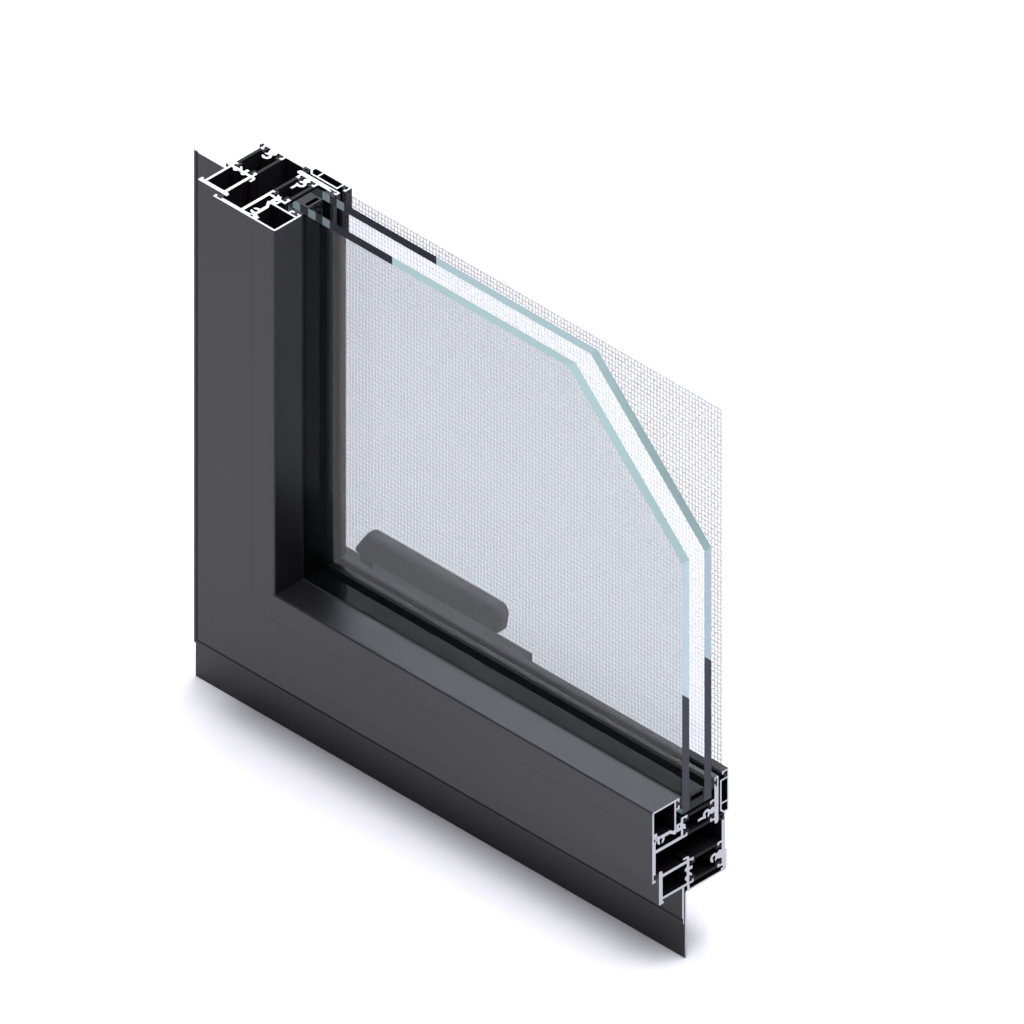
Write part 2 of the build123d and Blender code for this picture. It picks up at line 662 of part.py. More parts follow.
# Operator base: a cast shell on the room-side wall of the sill, open at its back
OPERATOR_END = Plane(
    origin=(CORNER_X - OPERATOR_LEFT, CORNER_Y + FRAME_BACK, CORNER_Z), x_dir=(0, 1, 0), z_dir=(1, 0, 0)
)
OPERATOR_LENGTH = OPERATOR_LEFT + OPERATOR_RIGHT
CLEAR_OF_SCREEN = SCREEN_BACK - FRAME_BACK + OPERATOR_CLEARANCE
UNDER_SCREEN = SCREEN_EDGE + OPERATOR_CLEARANCE
with BuildPart() as operator_base:
    with BuildSketch(OPERATOR_END):
        with BuildLine():
            Polyline(
                (0, -OPERATOR_BOTTOM),
                (OPERATOR_DEPTH - OPERATOR_SLOPE_DEPTH, -OPERATOR_BOTTOM),
                (OPERATOR_DEPTH, -OPERATOR_TOP - OPERATOR_FACE),
                (OPERATOR_DEPTH, -OPERATOR_TOP),
                (CLEAR_OF_SCREEN, -OPERATOR_TOP),
                (CLEAR_OF_SCREEN, -UNDER_SCREEN),
                (0, -UNDER_SCREEN - CLEAR_OF_SCREEN),
                close=True,
            )
        make_face()
    extrude(amount=OPERATOR_LENGTH)
    fillet(operator_base.faces().sort_by(Axis.Y)[-1].edges(), radius=OPERATOR_ROUND)
    back = operator_base.faces().filter_by(Axis.Y).sort_by(Axis.Y)[0]
    offset(amount=-OPERATOR_WALL, openings=back)
operator_base.part.label = "operator_base"
export_step(operator_base.part, "parts/operator_base.step")

# Crank handle folded down above the base: its fork straddles the hub's tongue
HANDLE_BACK = FRAME_BACK + OPERATOR_DEPTH - HANDLE_INSET
HANDLE_MIDDLE = HANDLE_BACK - HANDLE_DEPTH / 2
HANDLE_BOTTOM = CORNER_Z - OPERATOR_TOP + HANDLE_LIFT
HANDLE_LEFT = CORNER_X + HANDLE_RIGHT - HANDLE_LENGTH
PIN_X = HANDLE_LEFT + PIN_INSET
PIN_Z = HANDLE_BOTTOM + PIN_RISE
PIN_PLANE = Plane(origin=(PIN_X, CORNER_Y + HANDLE_BACK, PIN_Z), x_dir=(1, 0, 0), z_dir=(0, 1, 0))
PIN_LENGTH = HANDLE_DEPTH - PIN_END_WALL
handle_plane = Plane(
    origin=(HANDLE_LEFT, CORNER_Y + HANDLE_BACK - HANDLE_DEPTH, HANDLE_BOTTOM), x_dir=(1, 0, 0), z_dir=(0, -1, 0)
)
with BuildPart() as crank_handle:
    with BuildSketch(handle_plane) as side:
        with BuildLine():
            Polyline(
                (HANDLE_TOE_RUN, 0),
                (HANDLE_LENGTH - HANDLE_END_SLANT, 0),
                (HANDLE_LENGTH, HANDLE_HEIGHT),
                (HANDLE_SLANT, HANDLE_HEIGHT),
                (HANDLE_SLANT * HANDLE_TOE_RISE / HANDLE_HEIGHT, HANDLE_TOE_RISE),
                close=True,
            )
        make_face()
        fillet(side.vertices().sort_by(Axis.X)[-1], radius=HANDLE_NOSE)
        fillet(side.vertices().group_by(Axis.Y)[-1].sort_by(Axis.X)[0], radius=HANDLE_CORNER)
        fillet(side.vertices().group_by(Axis.Y)[0].sort_by(Axis.X)[-1], radius=HANDLE_CORNER)
        fillet(side.vertices().sort_by(Axis.X)[0], radius=HANDLE_TOE_ROUND)
    extrude(amount=-HANDLE_DEPTH)
    fillet(crank_handle.faces().filter_by(Axis.Y).edges(), radius=HANDLE_ROUND)
    slot_right = PIN_X + TONGUE_RADIUS + TURN_ROOM
    slot_top = HANDLE_BOTTOM + HANDLE_HEIGHT - HANDLE_ROOF
    with Locations((slot_right, CORNER_Y + HANDLE_MIDDLE, slot_top)):
        Box(
            2 * HANDLE_HEIGHT,
            TONGUE + 2 * PIN_SIDE,
            HANDLE_HEIGHT,
            align=(Align.MAX, Align.CENTER, Align.MAX),
            mode=Mode.SUBTRACT,
        )
    with Locations(PIN_PLANE):
        Cylinder(
            PIN_RADIUS + PIN_CLEARANCE,
            PIN_LENGTH + SEAT,
            align=(Align.CENTER, Align.CENTER, Align.MAX),
            mode=Mode.SUBTRACT,
        )
crank_handle.part.label = "crank_handle"
export_step(crank_handle.part, "parts/crank_handle.step")

# Hub of the crank: a round seat on the base with an upright tongue
HUB_BOTTOM = CORNER_Z - OPERATOR_TOP
with BuildPart() as crank_hub:
    with BuildSketch(Plane(origin=(PIN_X, CORNER_Y + HANDLE_MIDDLE, HUB_BOTTOM))):
        Circle(HUB_RADIUS)
    extrude(amount=HUB_HEIGHT)
    with BuildSketch(Plane(origin=(PIN_X, CORNER_Y + HANDLE_MIDDLE, PIN_Z), x_dir=(1, 0, 0), z_dir=(0, -1, 0))):
        Circle(TONGUE_RADIUS)
        with Locations((0, (HUB_BOTTOM - PIN_Z) / 2)):
            Rectangle(2 * TONGUE_RADIUS, PIN_Z - HUB_BOTTOM)
        Circle(PIN_RADIUS + PIN_CLEARANCE / 2, mode=Mode.SUBTRACT)
    extrude(amount=TONGUE / 2, both=True)
crank_hub.part.label = "crank_hub"
export_step(crank_hub.part, "parts/crank_hub.step")

with BuildPart() as handle_pin:
    with BuildSketch(PIN_PLANE):
        Circle(PIN_RADIUS)
    extrude(amount=-PIN_LENGTH)
handle_pin.part.label = "handle_pin"
export_step(handle_pin.part, "parts/handle_pin.step")
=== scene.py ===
import math

import bpy
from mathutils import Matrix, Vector


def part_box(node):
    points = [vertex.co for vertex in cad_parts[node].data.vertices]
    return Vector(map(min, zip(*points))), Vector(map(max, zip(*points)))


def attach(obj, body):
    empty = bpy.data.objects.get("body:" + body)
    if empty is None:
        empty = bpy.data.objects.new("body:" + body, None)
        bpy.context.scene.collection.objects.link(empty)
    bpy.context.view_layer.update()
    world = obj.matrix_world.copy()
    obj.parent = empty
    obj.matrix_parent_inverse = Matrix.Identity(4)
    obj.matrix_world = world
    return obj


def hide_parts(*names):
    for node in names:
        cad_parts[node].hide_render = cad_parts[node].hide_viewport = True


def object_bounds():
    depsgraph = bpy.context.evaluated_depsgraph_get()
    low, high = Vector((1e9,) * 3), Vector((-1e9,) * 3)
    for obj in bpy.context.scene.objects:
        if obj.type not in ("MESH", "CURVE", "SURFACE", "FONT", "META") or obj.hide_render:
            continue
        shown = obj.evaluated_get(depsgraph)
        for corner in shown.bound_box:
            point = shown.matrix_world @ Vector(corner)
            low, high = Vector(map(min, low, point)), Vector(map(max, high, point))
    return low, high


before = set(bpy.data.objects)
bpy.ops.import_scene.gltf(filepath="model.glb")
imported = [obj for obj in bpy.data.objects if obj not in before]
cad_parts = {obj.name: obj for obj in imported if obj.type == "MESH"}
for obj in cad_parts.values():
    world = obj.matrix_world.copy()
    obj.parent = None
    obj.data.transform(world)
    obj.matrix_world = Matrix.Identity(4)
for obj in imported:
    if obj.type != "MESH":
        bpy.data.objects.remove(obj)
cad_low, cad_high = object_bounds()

# Frame extrusions. The jamb and the sill are 6063 aluminium pushed through a die, mitred and
# joined at the corner, then powder coated dark grey. Both were sawn off to show the section, so
# their ends are bare bright metal.
MM = 0.001
SILL_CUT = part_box("frame_sill_exterior")[1].x
JAMB_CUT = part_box("frame_jamb_exterior")[1].z
# A point this near to the plane of a cut is on the sawn end
CUT_SKIN = 0.05 * MM
# The inner corner of the opening, from which the other places are measured
bead_low, bead_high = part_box("glazing_bead_stile")
CORNER = Vector((bead_high.x, bead_low.y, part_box("glazing_bead_rail")[1].z))
# A line of shade is painted along the outdoor face of the nailing fin; it lies between these two
# distances outward from the corner
FIN_SHADE_START = 94.5 * MM
FIN_SHADE_END = 96.7 * MM
# A face looks outdoors if the y of its normal is less than this
OUTDOORS = -0.5
COAT = "#121014"
# The coat's colour is even but for clouds a ninth of a metre wide, a little darker and lighter
CLOUDS = 1 / 9
CLOUD_SHADES = (0.94, 1.06)
BARE_SILL_END = "#a9abaf"
# The jamb's sawn end faces up and catches more of the lamps, so it is painted darker than the sill's:
# painted shade
JAMB_END_IN_PAINTED_SHADE = "#86888b"
# A wave texture has 3.2 bands in this length, so the saw's marks are drawn about 1 mm apart. Real
# ones are finer, too fine to show
SAW_WAVES = 3.0 * MM


def linear(hex_colour):
    """An sRGB hex colour as the linear RGBA that a shader takes."""
    values = [int(hex_colour[i:i + 2], 16) / 255 for i in (1, 3, 5)]
    return [v / 12.92 if v <= 0.04045 else ((v + 0.055) / 1.055) ** 2.4 for v in values] + [1.0]


def material(name):
    """A new empty material and its node tree."""
    made = bpy.data.materials.new(name)
    made.use_nodes = True
    made.node_tree.nodes.clear()
    return made, made.node_tree


def add(tree, kind, inputs=None, out=0, **settings):
    """Adds one node, with each input a value or another node's output.

    out is the name or number of the output to give back, or None for the node itself. A colour
    Mix has its share at input 0, its two colours at 6 and 7, and its result at output 2.
    """
    node = tree.nodes.new("ShaderNode" + kind)
    for key, value in settings.items():
        setattr(node, key, value)
    for socket, source in (inputs or {}).items():
        if isinstance(source, bpy.types.NodeSocket):
            tree.links.new(source, node.inputs[socket])
        else:
            node.inputs[socket].default_value = source
    return node if out is None else node.outputs[out]


def dress(names, made):
    """Gives CAD nodes a material."""
    for name in names:
        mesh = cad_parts[name].data
        mesh.materials.clear()
        mesh.materials.append(made)


def mottled(tree, where, grain, detail, dark, light):
    """An uneven surface: its height, and its colour between two near shades."""
    height = add(
        tree, "TexNoise", {"Vector": where, "Scale": 1 / grain, "Detail": detail}, out="Fac"
    )
    ramp = add(tree, "ValToRGB", {"Fac": height}, out=None)
    for element, shade in zip(ramp.color_ramp.elements, (dark, light)):
        element.color = shade
    return height, ramp.outputs["Color"]


def all_of(tree, *masks):
    """1 where every mask is 1, and 0 elsewhere."""
    product = masks[0]
    for mask in masks[1:]:
        product = add(tree, "Math", {0: product, 1: mask}, operation="MULTIPLY")
    return product


def painted_fin_shade(tree, sides):
    """1 along the painted line of shade on the outdoor face of the jamb's and the sill's fin."""
    normal = add(tree, "NewGeometry", out="True Normal")
    facing = add(tree, "SeparateXYZ", {"Vector": normal}, out=None).outputs
    out_left = add(tree, "Math", {0: CORNER.x, 1: sides["X"]}, operation="SUBTRACT")
    out_down = add(tree, "Math", {0: CORNER.z, 1: sides["Z"]}, operation="SUBTRACT")
    outward = add(tree, "Math", {0: out_left, 1: out_down}, operation="MAXIMUM")
    return all_of(
        tree,
        add(tree, "Math", {0: outward, 1: FIN_SHADE_START}, operation="GREATER_THAN"),
        add(tree, "Math", {0: outward, 1: FIN_SHADE_END}, operation="LESS_THAN"),
        add(tree, "Math", {0: facing["Y"], 1: OUTDOORS}, operation="LESS_THAN"),
    )


def sawn_metal(tree, where, jamb_end):
    """Bright aluminium, evenly scratched by the saw, with the upward jamb end painted darker as painted
    shade.
    """
    saw = add(
        tree,
        "TexWave",
        {"Vector": where, "Scale": 1 / SAW_WAVES, "Distortion": 1.5, "Detail": 2.0},
        out="Fac",
        wave_type="BANDS",
        bands_direction="Y",
    )
    shades = {0: jamb_end, 6: linear(BARE_SILL_END), 7: linear(JAMB_END_IN_PAINTED_SHADE)}
    return add(
        tree,
        "BsdfPrincipled",
        {
            "Base Color": add(tree, "Mix", shades, out=2, data_type="RGBA"),
            "Metallic": 1.0,
            "Roughness": 0.45,
            "Normal": add(tree, "Bump", {"Height": saw, "Strength": 0.1, "Distance": 0.01 * MM}),
        },
    )


# Powder coat: baked polyester, dark and satin, with the faint orange peel that the melted powder
# leaves, so that most of what the eye gets is a soft reflection of the studio.
def powder_coated(name, coat_hex=COAT, peel_mm=1.6, gloss=0.36, fin_shade_painted=False):
    """Coated metal, bare at the sawn ends, and with a painted line of shade along the fin if asked."""
    made, tree = material(name)
    where = add(tree, "TexCoord", out="Object")
    sides = add(tree, "SeparateXYZ", {"Vector": where}, out=None).outputs
    dark, light = ([part * share for part in linear(coat_hex)[:3]] + [1.0] for share in CLOUD_SHADES)
    _, colour = mottled(tree, where, CLOUDS, 3.0, dark, light)
    peel = add(tree, "TexNoise", {"Vector": where, "Scale": 1 / (peel_mm * MM), "Detail": 2.0}, out="Fac")
    coat = add(
        tree,
        "BsdfPrincipled",
        {
            "Base Color": colour,
            "Roughness": 0.34,
            "IOR": 1.5,
            "Specular IOR Level": gloss,
            "Normal": add(tree, "Bump", {"Height": peel, "Strength": 0.12, "Distance": 0.02 * MM}),
        },
    )
    if fin_shade_painted:
        # A rougher, less glossy copy of the coat paints the line of shade along the fin
        painted_shade_coat = add(
            tree,
            "BsdfPrincipled",
            {"Base Color": colour, "Roughness": 0.6, "IOR": 1.5, "Specular IOR Level": 0.16},
        )
        coat = add(tree, "MixShader", {0: painted_fin_shade(tree, sides), 1: coat, 2: painted_shade_coat})
    sill_end = add(tree, "Math", {0: sides["X"], 1: SILL_CUT - CUT_SKIN}, operation="GREATER_THAN")
    jamb_end = add(tree, "Math", {0: sides["Z"], 1: JAMB_CUT - CUT_SKIN}, operation="GREATER_THAN")
    either_end = add(tree, "Math", {0: sill_end, 1: jamb_end}, operation="MAXIMUM")
    surface = add(tree, "MixShader", {0: either_end, 1: coat, 2: sawn_metal(tree, where, jamb_end)})
    add(tree, "OutputMaterial", {"Surface": surface}, out=None)
    return made


coated_aluminium = powder_coated("powder_coated_aluminium")
dress(["frame_jamb_interior", "frame_sill_interior"], coated_aluminium)
dress(
    ["frame_jamb_exterior", "frame_sill_exterior"],
    powder_coated("powder_coated_aluminium_with_painted_fin_shade", fin_shade_painted=True),
)

# Sill flashing. One sheet of coil-coated aluminium, bent on a brake and laid under the frame
# before it is fastened; the coating runs over its guillotined edge.
dress(["sill_flashing"], powder_coated("coil_coated_aluminium_sheet", peel_mm=0.9))


# Thermal breaks. Strips of polyamide 6.6 with a quarter of glass fibre, extruded and rolled into
# the hooks of the two halves; the fibre leaves them matt and very slightly uneven.
def strip_plastic():
    """Matt black polyamide, faintly uneven from its fibre."""
    made, tree = material("glass_filled_polyamide")
    where = add(tree, "TexCoord", out="Object")
    height, colour = mottled(tree, where, 0.8 * MM, 3.0, linear("#101011"), linear("#18181a"))
    surface = add(
        tree,
        "BsdfPrincipled",
        {
            "Base Color": colour,
            "Roughness": 0.62,
            "IOR": 1.53,
            "Specular IOR Level": 0.1,
            "Normal": add(tree, "Bump", {"Height": height, "Strength": 0.2, "Distance": 0.03 * MM}),
        },
    )
    add(tree, "OutputMaterial", {"Surface": surface}, out=None)
    return made


dress([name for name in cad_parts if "_strip_near_" in name], strip_plastic())

# Sash and glazing beads. Aluminium extrusions from the same die set and coating line as the
# frame, sawn off with it. The sash is mitred at its corner, and the hollow beads snap into it
# from outdoors and hold the glass.
dress(
    [
        "sash_stile_exterior",
        "sash_rail_exterior",
        "sash_stile_interior",
        "sash_rail_interior",
        "glazing_bead_stile",
        "glazing_bead_rail",
    ],
    coated_aluminium,
)


# Weatherstrips and glazing gaskets. EPDM rubber pushed through a die and cured: deep black and
# matt, with a dusting of bloom that softens its highlights.
def rubber(name, dark_hex, light_hex, grain_mm):
    """Matt black rubber, or a sealant or vinyl with the same finish."""
    made, tree = material(name)
    where = add(tree, "TexCoord", out="Object")
    height, colour = mottled(tree, where, grain_mm * MM, 4.0, linear(dark_hex), linear(light_hex))
    surface = add(
        tree,
        "BsdfPrincipled",
        {
            "Base Color": colour,
            "Roughness": 0.7,
            "IOR": 1.52,
            "Specular IOR Level": 0.25,
            "Normal": add(tree, "Bump", {"Height": height, "Strength": 0.25, "Distance": 0.02 * MM}),
        },
    )
    add(tree, "OutputMaterial", {"Surface": surface}, out=None)
    return made


dress(
    [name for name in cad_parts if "weatherstrip" in name or "gasket" in name],
    rubber("epdm_rubber", "#0d0d0e", "#1b1b1d", grain_mm=0.6),
)

# Panes. Two 1/4 inch sheets of float glass, cut to size, set between gaskets and clear from the
# front. Their ground edges are opaque and painted with light: teal, partly the tint of the iron in
# the glass and partly painted light that it carries, lighter on the upright edges than on the top;
# nearly black, a painted reflection of the dark pocket, where it lies behind them; and a few paler
# squares about as wide as the pane is thick, also painted reflections.
SQUARE = 6.4 * MM
# Colours of the painted reflections on the edges: the paler squares, and the dark pocket on the upright
# and on the upward edges
REFLECTED_SQUARE_COLOUR = "#4a5557"
POCKET_REFLECTION_SIDE = "#46494e"
POCKET_REFLECTION_TOP = "#0e1117"
# The least that a face's normal leans to an axis, on a slanting edge, on an edge square to the
# axis, and on the pane's own broad face
SLANTING = 0.4
SQUARE_ON = 0.9
BROAD = 0.5


def painted_edge_light(tree, facing, side_hex, slant_hex, top_hex, dark_reach_mm, squares_mm):
    """Painted light along the pane's edges: teal, with painted reflections of the dark pocket and of
    squares measured from the corner.
    """
    where = add(tree, "TexCoord", out="Object")
    sides = add(tree, "SeparateXYZ", {"Vector": where}, out=None).outputs
    along_top = add(tree, "Math", {0: sides["X"], 1: sides["Y"]}, operation="ADD")
    along_top = add(tree, "Math", {0: along_top, 1: CORNER.x + CORNER.y}, operation="SUBTRACT")
    along_side = add(tree, "Math", {0: sides["Z"], 1: sides["Y"]}, operation="ADD")
    along_side = add(tree, "Math", {0: along_side, 1: CORNER.z + CORNER.y}, operation="SUBTRACT")
    upward = add(tree, "Math", {0: facing["Z"], 1: SLANTING}, operation="GREATER_THAN")
    level = add(tree, "Math", {0: facing["Z"], 1: SQUARE_ON}, operation="GREATER_THAN")
    sideways = add(tree, "Math", {0: facing["X"], 1: SQUARE_ON}, operation="GREATER_THAN")
    teals = {0: upward, 6: linear(side_hex), 7: linear(slant_hex)}
    teal = add(tree, "Mix", teals, out=2, data_type="RGBA")
    teal = add(tree, "Mix", {0: level, 6: teal, 7: linear(top_hex)}, out=2, data_type="RGBA")
    darks = {0: upward, 6: linear(POCKET_REFLECTION_SIDE), 7: linear(POCKET_REFLECTION_TOP)}
    dark = add(tree, "Mix", darks, out=2, data_type="RGBA")
    reach = dark_reach_mm * MM
    near_top = add(tree, "Math", {0: along_top, 1: reach}, operation="LESS_THAN")
    near_side = add(tree, "Math", {0: along_side, 1: reach}, operation="LESS_THAN")
    dark_top = all_of(tree, level, near_top)
    dark_side = all_of(tree, sideways, near_side)
    darkened = add(tree, "Math", {0: dark_top, 1: dark_side}, operation="MAXIMUM")
    colour = add(tree, "Mix", {0: darkened, 6: teal, 7: dark}, out=2, data_type="RGBA")
    for middle_mm in squares_mm:
        apart = add(tree, "Math", {0: along_top, 1: middle_mm * MM}, operation="SUBTRACT")
        apart = add(tree, "Math", {0: apart}, operation="ABSOLUTE")
        inside = add(tree, "Math", {0: apart, 1: SQUARE / 2}, operation="LESS_THAN")
        square = {0: all_of(tree, level, inside), 6: colour, 7: linear(REFLECTED_SQUARE_COLOUR)}
        colour = add(tree, "Mix", square, out=2, data_type="RGBA")
    return colour


def float_glass(name, **edge_sizes):
    """Glass that is clear across its faces, lets the light through, and is opaque at its edges, where
    light is painted.
    """
    made, tree = material(name)
    normal = add(tree, "NewGeometry", out="True Normal")
    facing = add(tree, "SeparateXYZ", {"Vector": normal}, out=None).outputs
    edge = add(
        tree,
        "BsdfPrincipled",
        {
            "Base Color": painted_edge_light(tree, facing, **edge_sizes),
            "Roughness": 0.5,
            "IOR": 1.52,
            "Specular IOR Level": 0.02,
        },
    )
    # Glass has an IOR of 1.52; with 1.3 the panes mirror as little of the studio as in the photo
    face = add(
        tree,
        "BsdfPrincipled",
        {
            "Base Color": linear("#d1d4d4"),
            "Roughness": 0.0,
            "IOR": 1.3,
            "Specular IOR Level": 0.05,
            "Transmission Weight": 1.0,
        },
    )
    lit_through = add(tree, "BsdfTransparent", {"Color": linear("#f2f8f8")})
    is_shadow = add(tree, "LightPath", out="Is Shadow Ray")
    clear = add(tree, "MixShader", {0: is_shadow, 1: face, 2: lit_through})
    lean = add(tree, "Math", {0: facing["Y"]}, operation="ABSOLUTE")
    on_face = add(tree, "Math", {0: lean, 1: BROAD}, operation="GREATER_THAN")
    surface = add(tree, "MixShader", {0: on_face, 1: edge, 2: clear})
    add(tree, "OutputMaterial", {"Surface": surface}, out=None)
    return made


# Each pane's painted edge light: its teals, how far the painted reflection of the pocket reaches, and
# where its painted squares lie
dress(
    ["exterior_pane"],
    float_glass(
        "float_glass_outer",
        side_hex="#c1d6dd",
        slant_hex="#8aa2a0",
        top_hex="#7a908e",
        dark_reach_mm=104.0,
        squares_mm=(19.4, 33.0, 45.6),
    ),
)
dress(
    ["interior_pane"],
    float_glass(
        "float_glass_inner",
        side_hex="#b1c4cc",
        slant_hex="#7e9392",
        top_hex="#7a8d8e",
        dark_reach_mm=143.0,
        squares_mm=(45.6, 58.2),
    ),
)


# Spacer bar and sealant. The bar that keeps the panes apart is roll-formed aluminium, anodised
# nearly black and smooth enough to mirror the screen. Black polysulphide closes the edge behind
# it. Both are as they left the glazing line, not sawn with the frame.
def black_anodised():
    """Smooth, nearly black anodised metal."""
    made, tree = material("black_anodised_spacer_bar")
    where = add(tree, "TexCoord", out="Object")
    _, colour = mottled(tree, where, 2.0 * MM, 2.0, linear("#070708"), linear("#0e0e0f"))
    surface = add(
        tree,
        "BsdfPrincipled",
        {"Base Color": colour, "Roughness": 0.16, "IOR": 1.5, "Specular IOR Level": 0.08},
    )
    add(tree, "OutputMaterial", {"Surface": surface}, out=None)
    return made


dress(["glass_spacer_stile", "glass_spacer_rail"], black_anodised())
dress(
    ["edge_sealant_stile", "edge_sealant_rail"],
    rubber("polysulphide_sealant", "#111113", "#1b1b1e", grain_mm=1.2),
)

# Insect screen. Two roll-formed coated bars carry a vinyl-coated fibreglass mesh, which a vinyl
# cord presses into their grooves. The mesh is plain woven and fused where the yarns cross.
dress(["screen_stile", "screen_rail"], powder_coated("matt_coated_screen_bar", "#0c0b0e", gloss=0.1))
dress(
    ["screen_spline_stile", "screen_spline_rail"],
    rubber("vinyl_spline", "#101011", "#1d1d1f", grain_mm=0.5),
)

# The mesh's real spacing is half of this and too fine for the photo, so each drawn yarn stands
# for a pair of real ones, as wide as the pair and clear where light comes between them
MESH_ACROSS = 2.83 * MM
MESH_UP = 3.39 * MM
YARN_PAIR = 1.7 * MM
YARN = 0.14 * MM
# The places of x and z in a point, and the corners of a yarn's flat diamond section
X = 0
Z = 2
CORNERS = 4


def yarns(name, low, high, along, pitch_along, pitch_across):
    """All yarns that run one way, each going over and under those it crosses."""
    across = Z if along == X else X
    middle = (low.y + high.y) / 2
    wave = (high.y - low.y - YARN) / 2
    rows = int((high[across] - low[across]) / pitch_across)
    stops = int((high[along] - low[along]) / pitch_along)
    verts, faces = [], []
    for row in range(rows + 1):
        start = len(verts)
        side = high[across] - YARN_PAIR / 2 - row * pitch_across
        for stop in range(stops + 2):
            lift = wave if (row + stop + (along == X)) % 2 else -wave
            for turn in range(CORNERS):
                angle = math.tau / CORNERS * turn
                point = [0.0, middle + lift + math.sin(angle) * YARN / 2, 0.0]
                point[along] = max(high[along] - stop * pitch_along, low[along])
                point[across] = max(side + math.cos(angle) * YARN_PAIR / 2, low[across])
                verts.append(point)
            if stop:
                here = len(verts) - CORNERS
                last = here - CORNERS
                for turn in range(CORNERS):
                    other = (turn + 1) % CORNERS
                    faces.append((last + turn, last + other, here + other, here + turn))
        faces.append(tuple(range(start, start + CORNERS)))
        faces.append(tuple(range(len(verts) - CORNERS, len(verts))))
    mesh = bpy.data.meshes.new(name)
    mesh.from_pydata(verts, [], faces)
    mesh.polygons.foreach_set("use_smooth", [True] * len(mesh.polygons))
    mesh.update()
    made = bpy.data.objects.new(name, mesh)
    bpy.context.scene.collection.objects.link(made)
    return made


mesh_low, mesh_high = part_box("screen_mesh")
upright_yarns = yarns("screen_yarns_upright", mesh_low, mesh_high, Z, MESH_UP, MESH_ACROSS)
level_yarns = yarns("screen_yarns_level", mesh_low, mesh_high, X, MESH_ACROSS, MESH_UP)

# Vinyl over glass fibre, grey against the studio; seen through the panes it is washed to a haze,
# which shows on the dark frame and almost vanishes before the floor. So the part of the screen
# behind the glass is painted paler, a painted haze, and is clearer than the part beyond it.
PANE_CUT = 100.5 * MM
PAINTED_HAZE_YARN = "#939397"
CLEAR_BEYOND_GLASS = 0.64
# Fused crossings are little darker than one yarn, so the level yarns are this clear there
CLEAR_WHERE_FUSED = 0.94


def behind_panes(tree, sides):
    """1 on the part of the screen that the camera sees through the panes, with their cut corner."""
    pane_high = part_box("interior_pane")[1]
    behind = mesh_low.y - pane_high.y
    corner_cut = SILL_CUT + JAMB_CUT - PANE_CUT - 2 * behind
    across_corner = add(tree, "Math", {0: sides["X"], 1: sides["Z"]}, operation="ADD")
    return all_of(
        tree,
        add(tree, "Math", {0: across_corner, 1: corner_cut}, operation="LESS_THAN"),
        add(tree, "Math", {0: sides["X"], 1: pane_high.x - behind}, operation="LESS_THAN"),
        add(tree, "Math", {0: sides["Z"], 1: pane_high.z - behind}, operation="LESS_THAN"),
    )


def under_upright_yarn(tree, sides):
    """1 on a level yarn where an upright one crosses it."""
    column = add(tree, "Math", {0: mesh_high.x - YARN_PAIR / 2, 1: sides["X"]}, operation="SUBTRACT")
    column = add(tree, "Math", {0: column, 1: MESH_ACROSS}, operation="DIVIDE")
    column = add(tree, "Math", {0: column, 1: 0.5}, operation="ADD")
    aside = add(tree, "Math", {0: column}, operation="FRACT")
    aside = add(tree, "Math", {0: aside, 1: 0.5}, operation="SUBTRACT")
    aside = add(tree, "Math", {0: aside}, operation="ABSOLUTE")
    return add(tree, "Math", {0: aside, 1: YARN_PAIR / 2 / MESH_ACROSS}, operation="LESS_THAN")


def coated_yarn(name, clear_behind_glass, crossed):
    """Vinyl yarn that lets light through, more of it behind the glass and where it is crossed, and
    painted paler behind the glass as a painted haze.
    """
    made, tree = material(name)
    where = add(tree, "TexCoord", out="Object")
    sides = add(tree, "SeparateXYZ", {"Vector": where}, out=None).outputs
    hidden = behind_panes(tree, sides)
    _, colour = mottled(tree, where, 0.4 * MM, 2.0, linear("#56555b"), linear("#5f5e64"))
    colour = add(tree, "Mix", {0: hidden, 6: colour, 7: linear(PAINTED_HAZE_YARN)}, out=2, data_type="RGBA")
    body = add(
        tree,
        "BsdfPrincipled",
        {"Base Color": colour, "Roughness": 0.5, "IOR": 1.53, "Specular IOR Level": 0.3},
    )
    gain = clear_behind_glass - CLEAR_BEYOND_GLASS
    clear = add(tree, "Math", {0: hidden, 1: gain}, operation="MULTIPLY")
    clear = add(tree, "Math", {0: clear, 1: CLEAR_BEYOND_GLASS}, operation="ADD")
    if crossed:
        crossing = under_upright_yarn(tree, sides)
        fused = add(tree, "Math", {0: crossing, 1: CLEAR_WHERE_FUSED}, operation="MULTIPLY")
        clear = add(tree, "Math", {0: clear, 1: fused}, operation="MAXIMUM")
    surface = add(tree, "MixShader", {0: clear, 1: body, 2: add(tree, "BsdfTransparent")})
    add(tree, "OutputMaterial", {"Surface": surface}, out=None)
    return made


for piece, yarn_vinyl in (
    (upright_yarns, coated_yarn("vinyl_coated_fibreglass_upright", 0.922, crossed=False)),
    (level_yarns, coated_yarn("vinyl_coated_fibreglass_level", 0.958, crossed=True)),
):
    piece.data.materials.append(yarn_vinyl)
    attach(piece, "window")
    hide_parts("screen_mesh")


# Crank operator. A zinc casting under a baked enamel, screwed to the room side of the sill; its
# folded handle lies along the top and turns up on a steel pin.
def baked_enamel():
    """Dark satin enamel, slightly pitted by the casting under it."""
    made, tree = material("baked_enamel_on_zinc")
    where = add(tree, "TexCoord", out="Object")
    height, colour = mottled(tree, where, 1.1 * MM, 4.0, linear("#111113"), linear("#19191b"))
    surface = add(
        tree,
        "BsdfPrincipled",
        {
            "Base Color": colour,
            "Roughness": 0.5,
            "IOR": 1.5,
            "Specular IOR Level": 0.12,
            "Normal": add(tree, "Bump", {"Height": height, "Strength": 0.15, "Distance": 0.03 * MM}),
        },
    )
    add(tree, "OutputMaterial", {"Surface": surface}, out=None)
    return made


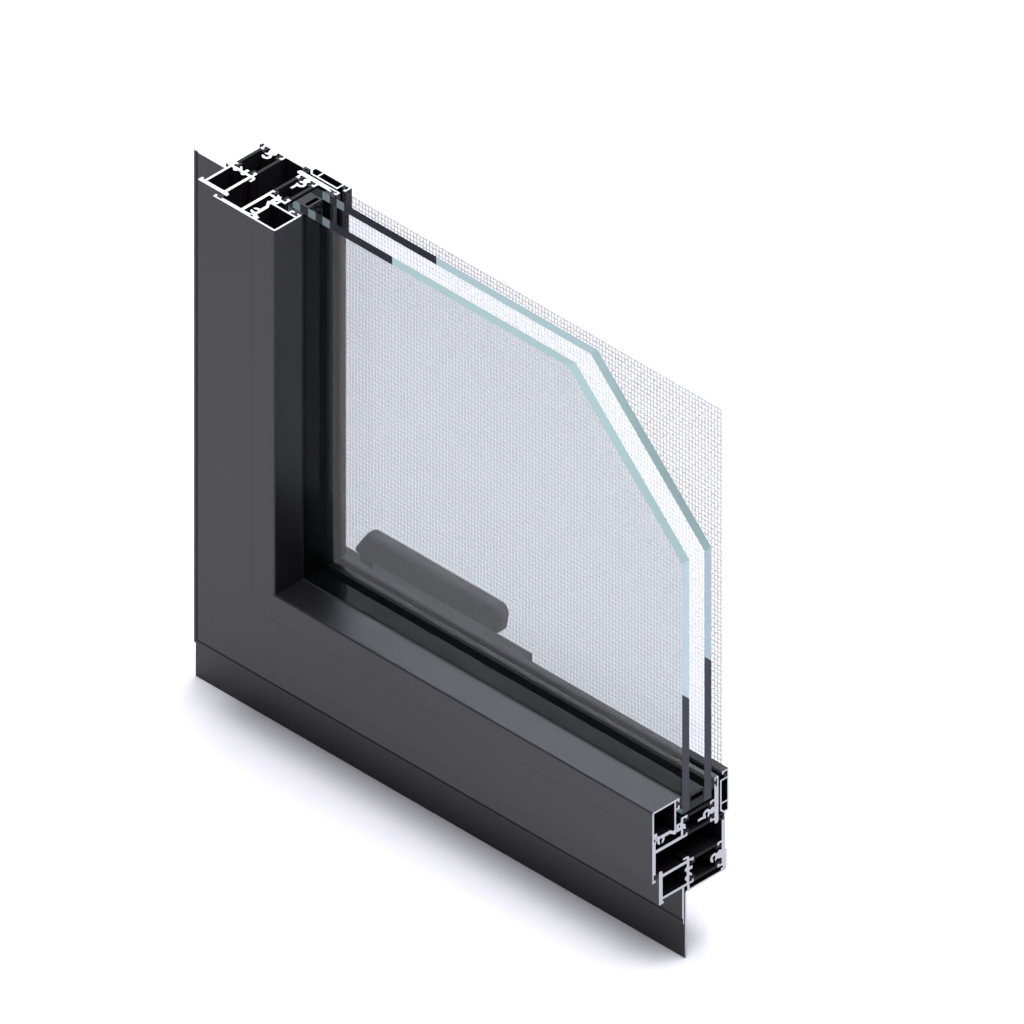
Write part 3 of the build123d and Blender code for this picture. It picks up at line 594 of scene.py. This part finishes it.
def turned_steel():
    """Plain steel with the uneven gloss that the lathe leaves."""
    made, tree = material("turned_steel_pin")
    where = add(tree, "TexCoord", out="Object")
    marks = add(tree, "TexNoise", {"Vector": where, "Scale": 1 / (0.3 * MM), "Detail": 3.0}, out="Fac")
    roughness = add(tree, "MapRange", {"Value": marks, "To Min": 0.28, "To Max": 0.42}, out="Result")
    surface = add(
        tree,
        "BsdfPrincipled",
        {"Base Color": linear("#b9b8b4"), "Metallic": 1.0, "Roughness": roughness},
    )
    add(tree, "OutputMaterial", {"Surface": surface}, out=None)
    return made


dress(["operator_base", "crank_hub", "crank_handle"], baked_enamel())
dress(["handle_pin"], turned_steel())

# Camera. The photo is an orthographic view, 45 degrees around and 35.26 degrees down, at 1.6
# pixels a millimetre; its middle looks at this point of the window.
IMAGE_WIDTH = 1024
PIXELS_PER_MM = 1.6
MIDDLE = CORNER + Vector((179.9, 30.0, 138.6)) * MM
AWAY = Vector((1, -1, 1)).normalized()
CAMERA_DISTANCE = 2.0
camera_data = bpy.data.cameras.new("camera")
camera_data.type = "ORTHO"
camera_data.ortho_scale = IMAGE_WIDTH / PIXELS_PER_MM * MM
camera = bpy.data.objects.new("camera", camera_data)
bpy.context.scene.collection.objects.link(camera)
camera.location = MIDDLE + AWAY * CAMERA_DISTANCE
camera.rotation_mode = "QUATERNION"
camera.rotation_quaternion = (-AWAY).to_track_quat("-Z", "Y")
bpy.context.scene.camera = camera

# Floor. Matt white studio paper, rolled out flat just under the flashing's edge; its fibres clump
# a sixtieth of a metre apart and hardly show.
FLOOR_SIZE = 8.0
FLOOR_GAP = 0.2 * MM
FIBRE_CLUMPS = 1 / 60
half = FLOOR_SIZE / 2
floor_mesh = bpy.data.meshes.new("floor")
floor_mesh.from_pydata(
    [(-half, -half, 0), (half, -half, 0), (half, half, 0), (-half, half, 0)], [], [(0, 1, 2, 3)]
)
floor = bpy.data.objects.new("floor", floor_mesh)
floor.location.z = cad_low.z - FLOOR_GAP
bpy.context.scene.collection.objects.link(floor)
paper, sheet = material("matt_white_paper")
on_sheet = add(sheet, "TexCoord", out="Object")
_, white = mottled(sheet, on_sheet, FIBRE_CLUMPS, 2.0, linear("#f7f7fa"), linear("#fbfbfd"))
paper_surface = add(sheet, "BsdfPrincipled", {"Base Color": white, "Roughness": 0.9})
add(sheet, "OutputMaterial", {"Surface": paper_surface}, out=None)
floor_mesh.materials.append(paper)

# Light. An even, slightly blue white surround, two soft boxes straight above, a wide one and a
# small one, and a third behind and above the jamb's side, which the upward faces mirror.
SURROUND_COLOUR = (0.94, 0.96, 1.04, 1.0)
SURROUND_STRENGTH = 0.3
BOX_COLOUR = (1.0, 0.985, 1.05)
BELOW_BOXES = MIDDLE + Vector((0, 0.1, 0))
BOX_HEIGHT = Vector((0, 0, 1.6))
BEHIND_JAMB = Vector((-1, 1, 1))
world = bpy.data.worlds.new("studio")
world.use_nodes = True
world.node_tree.nodes["Background"].inputs["Color"].default_value = SURROUND_COLOUR
world.node_tree.nodes["Background"].inputs["Strength"].default_value = SURROUND_STRENGTH
bpy.context.scene.world = world


def soft_box(name, where, aim, size, power, glints_only=False):
    """A square diffused lamp that faces a point; with glints_only it shows in reflections alone."""
    data = bpy.data.lights.new(name, "AREA")
    data.size = size
    data.energy = power
    data.color = BOX_COLOUR
    lamp = bpy.data.objects.new(name, data)
    lamp.location = where
    lamp.rotation_mode = "QUATERNION"
    lamp.rotation_quaternion = (aim - where).to_track_quat("-Z", "Y")
    lamp.visible_diffuse = not glints_only
    bpy.context.scene.collection.objects.link(lamp)


soft_box("ceiling_box", BELOW_BOXES + BOX_HEIGHT, BELOW_BOXES, size=2.4, power=60.0)
soft_box("soft_box_above", BELOW_BOXES + BOX_HEIGHT, BELOW_BOXES, size=1.2, power=18.0)
soft_box("soft_box_behind", MIDDLE + BEHIND_JAMB, MIDDLE, size=1.1, power=22.0, glints_only=True)
bpy.context.scene.view_settings.view_transform = "Standard"
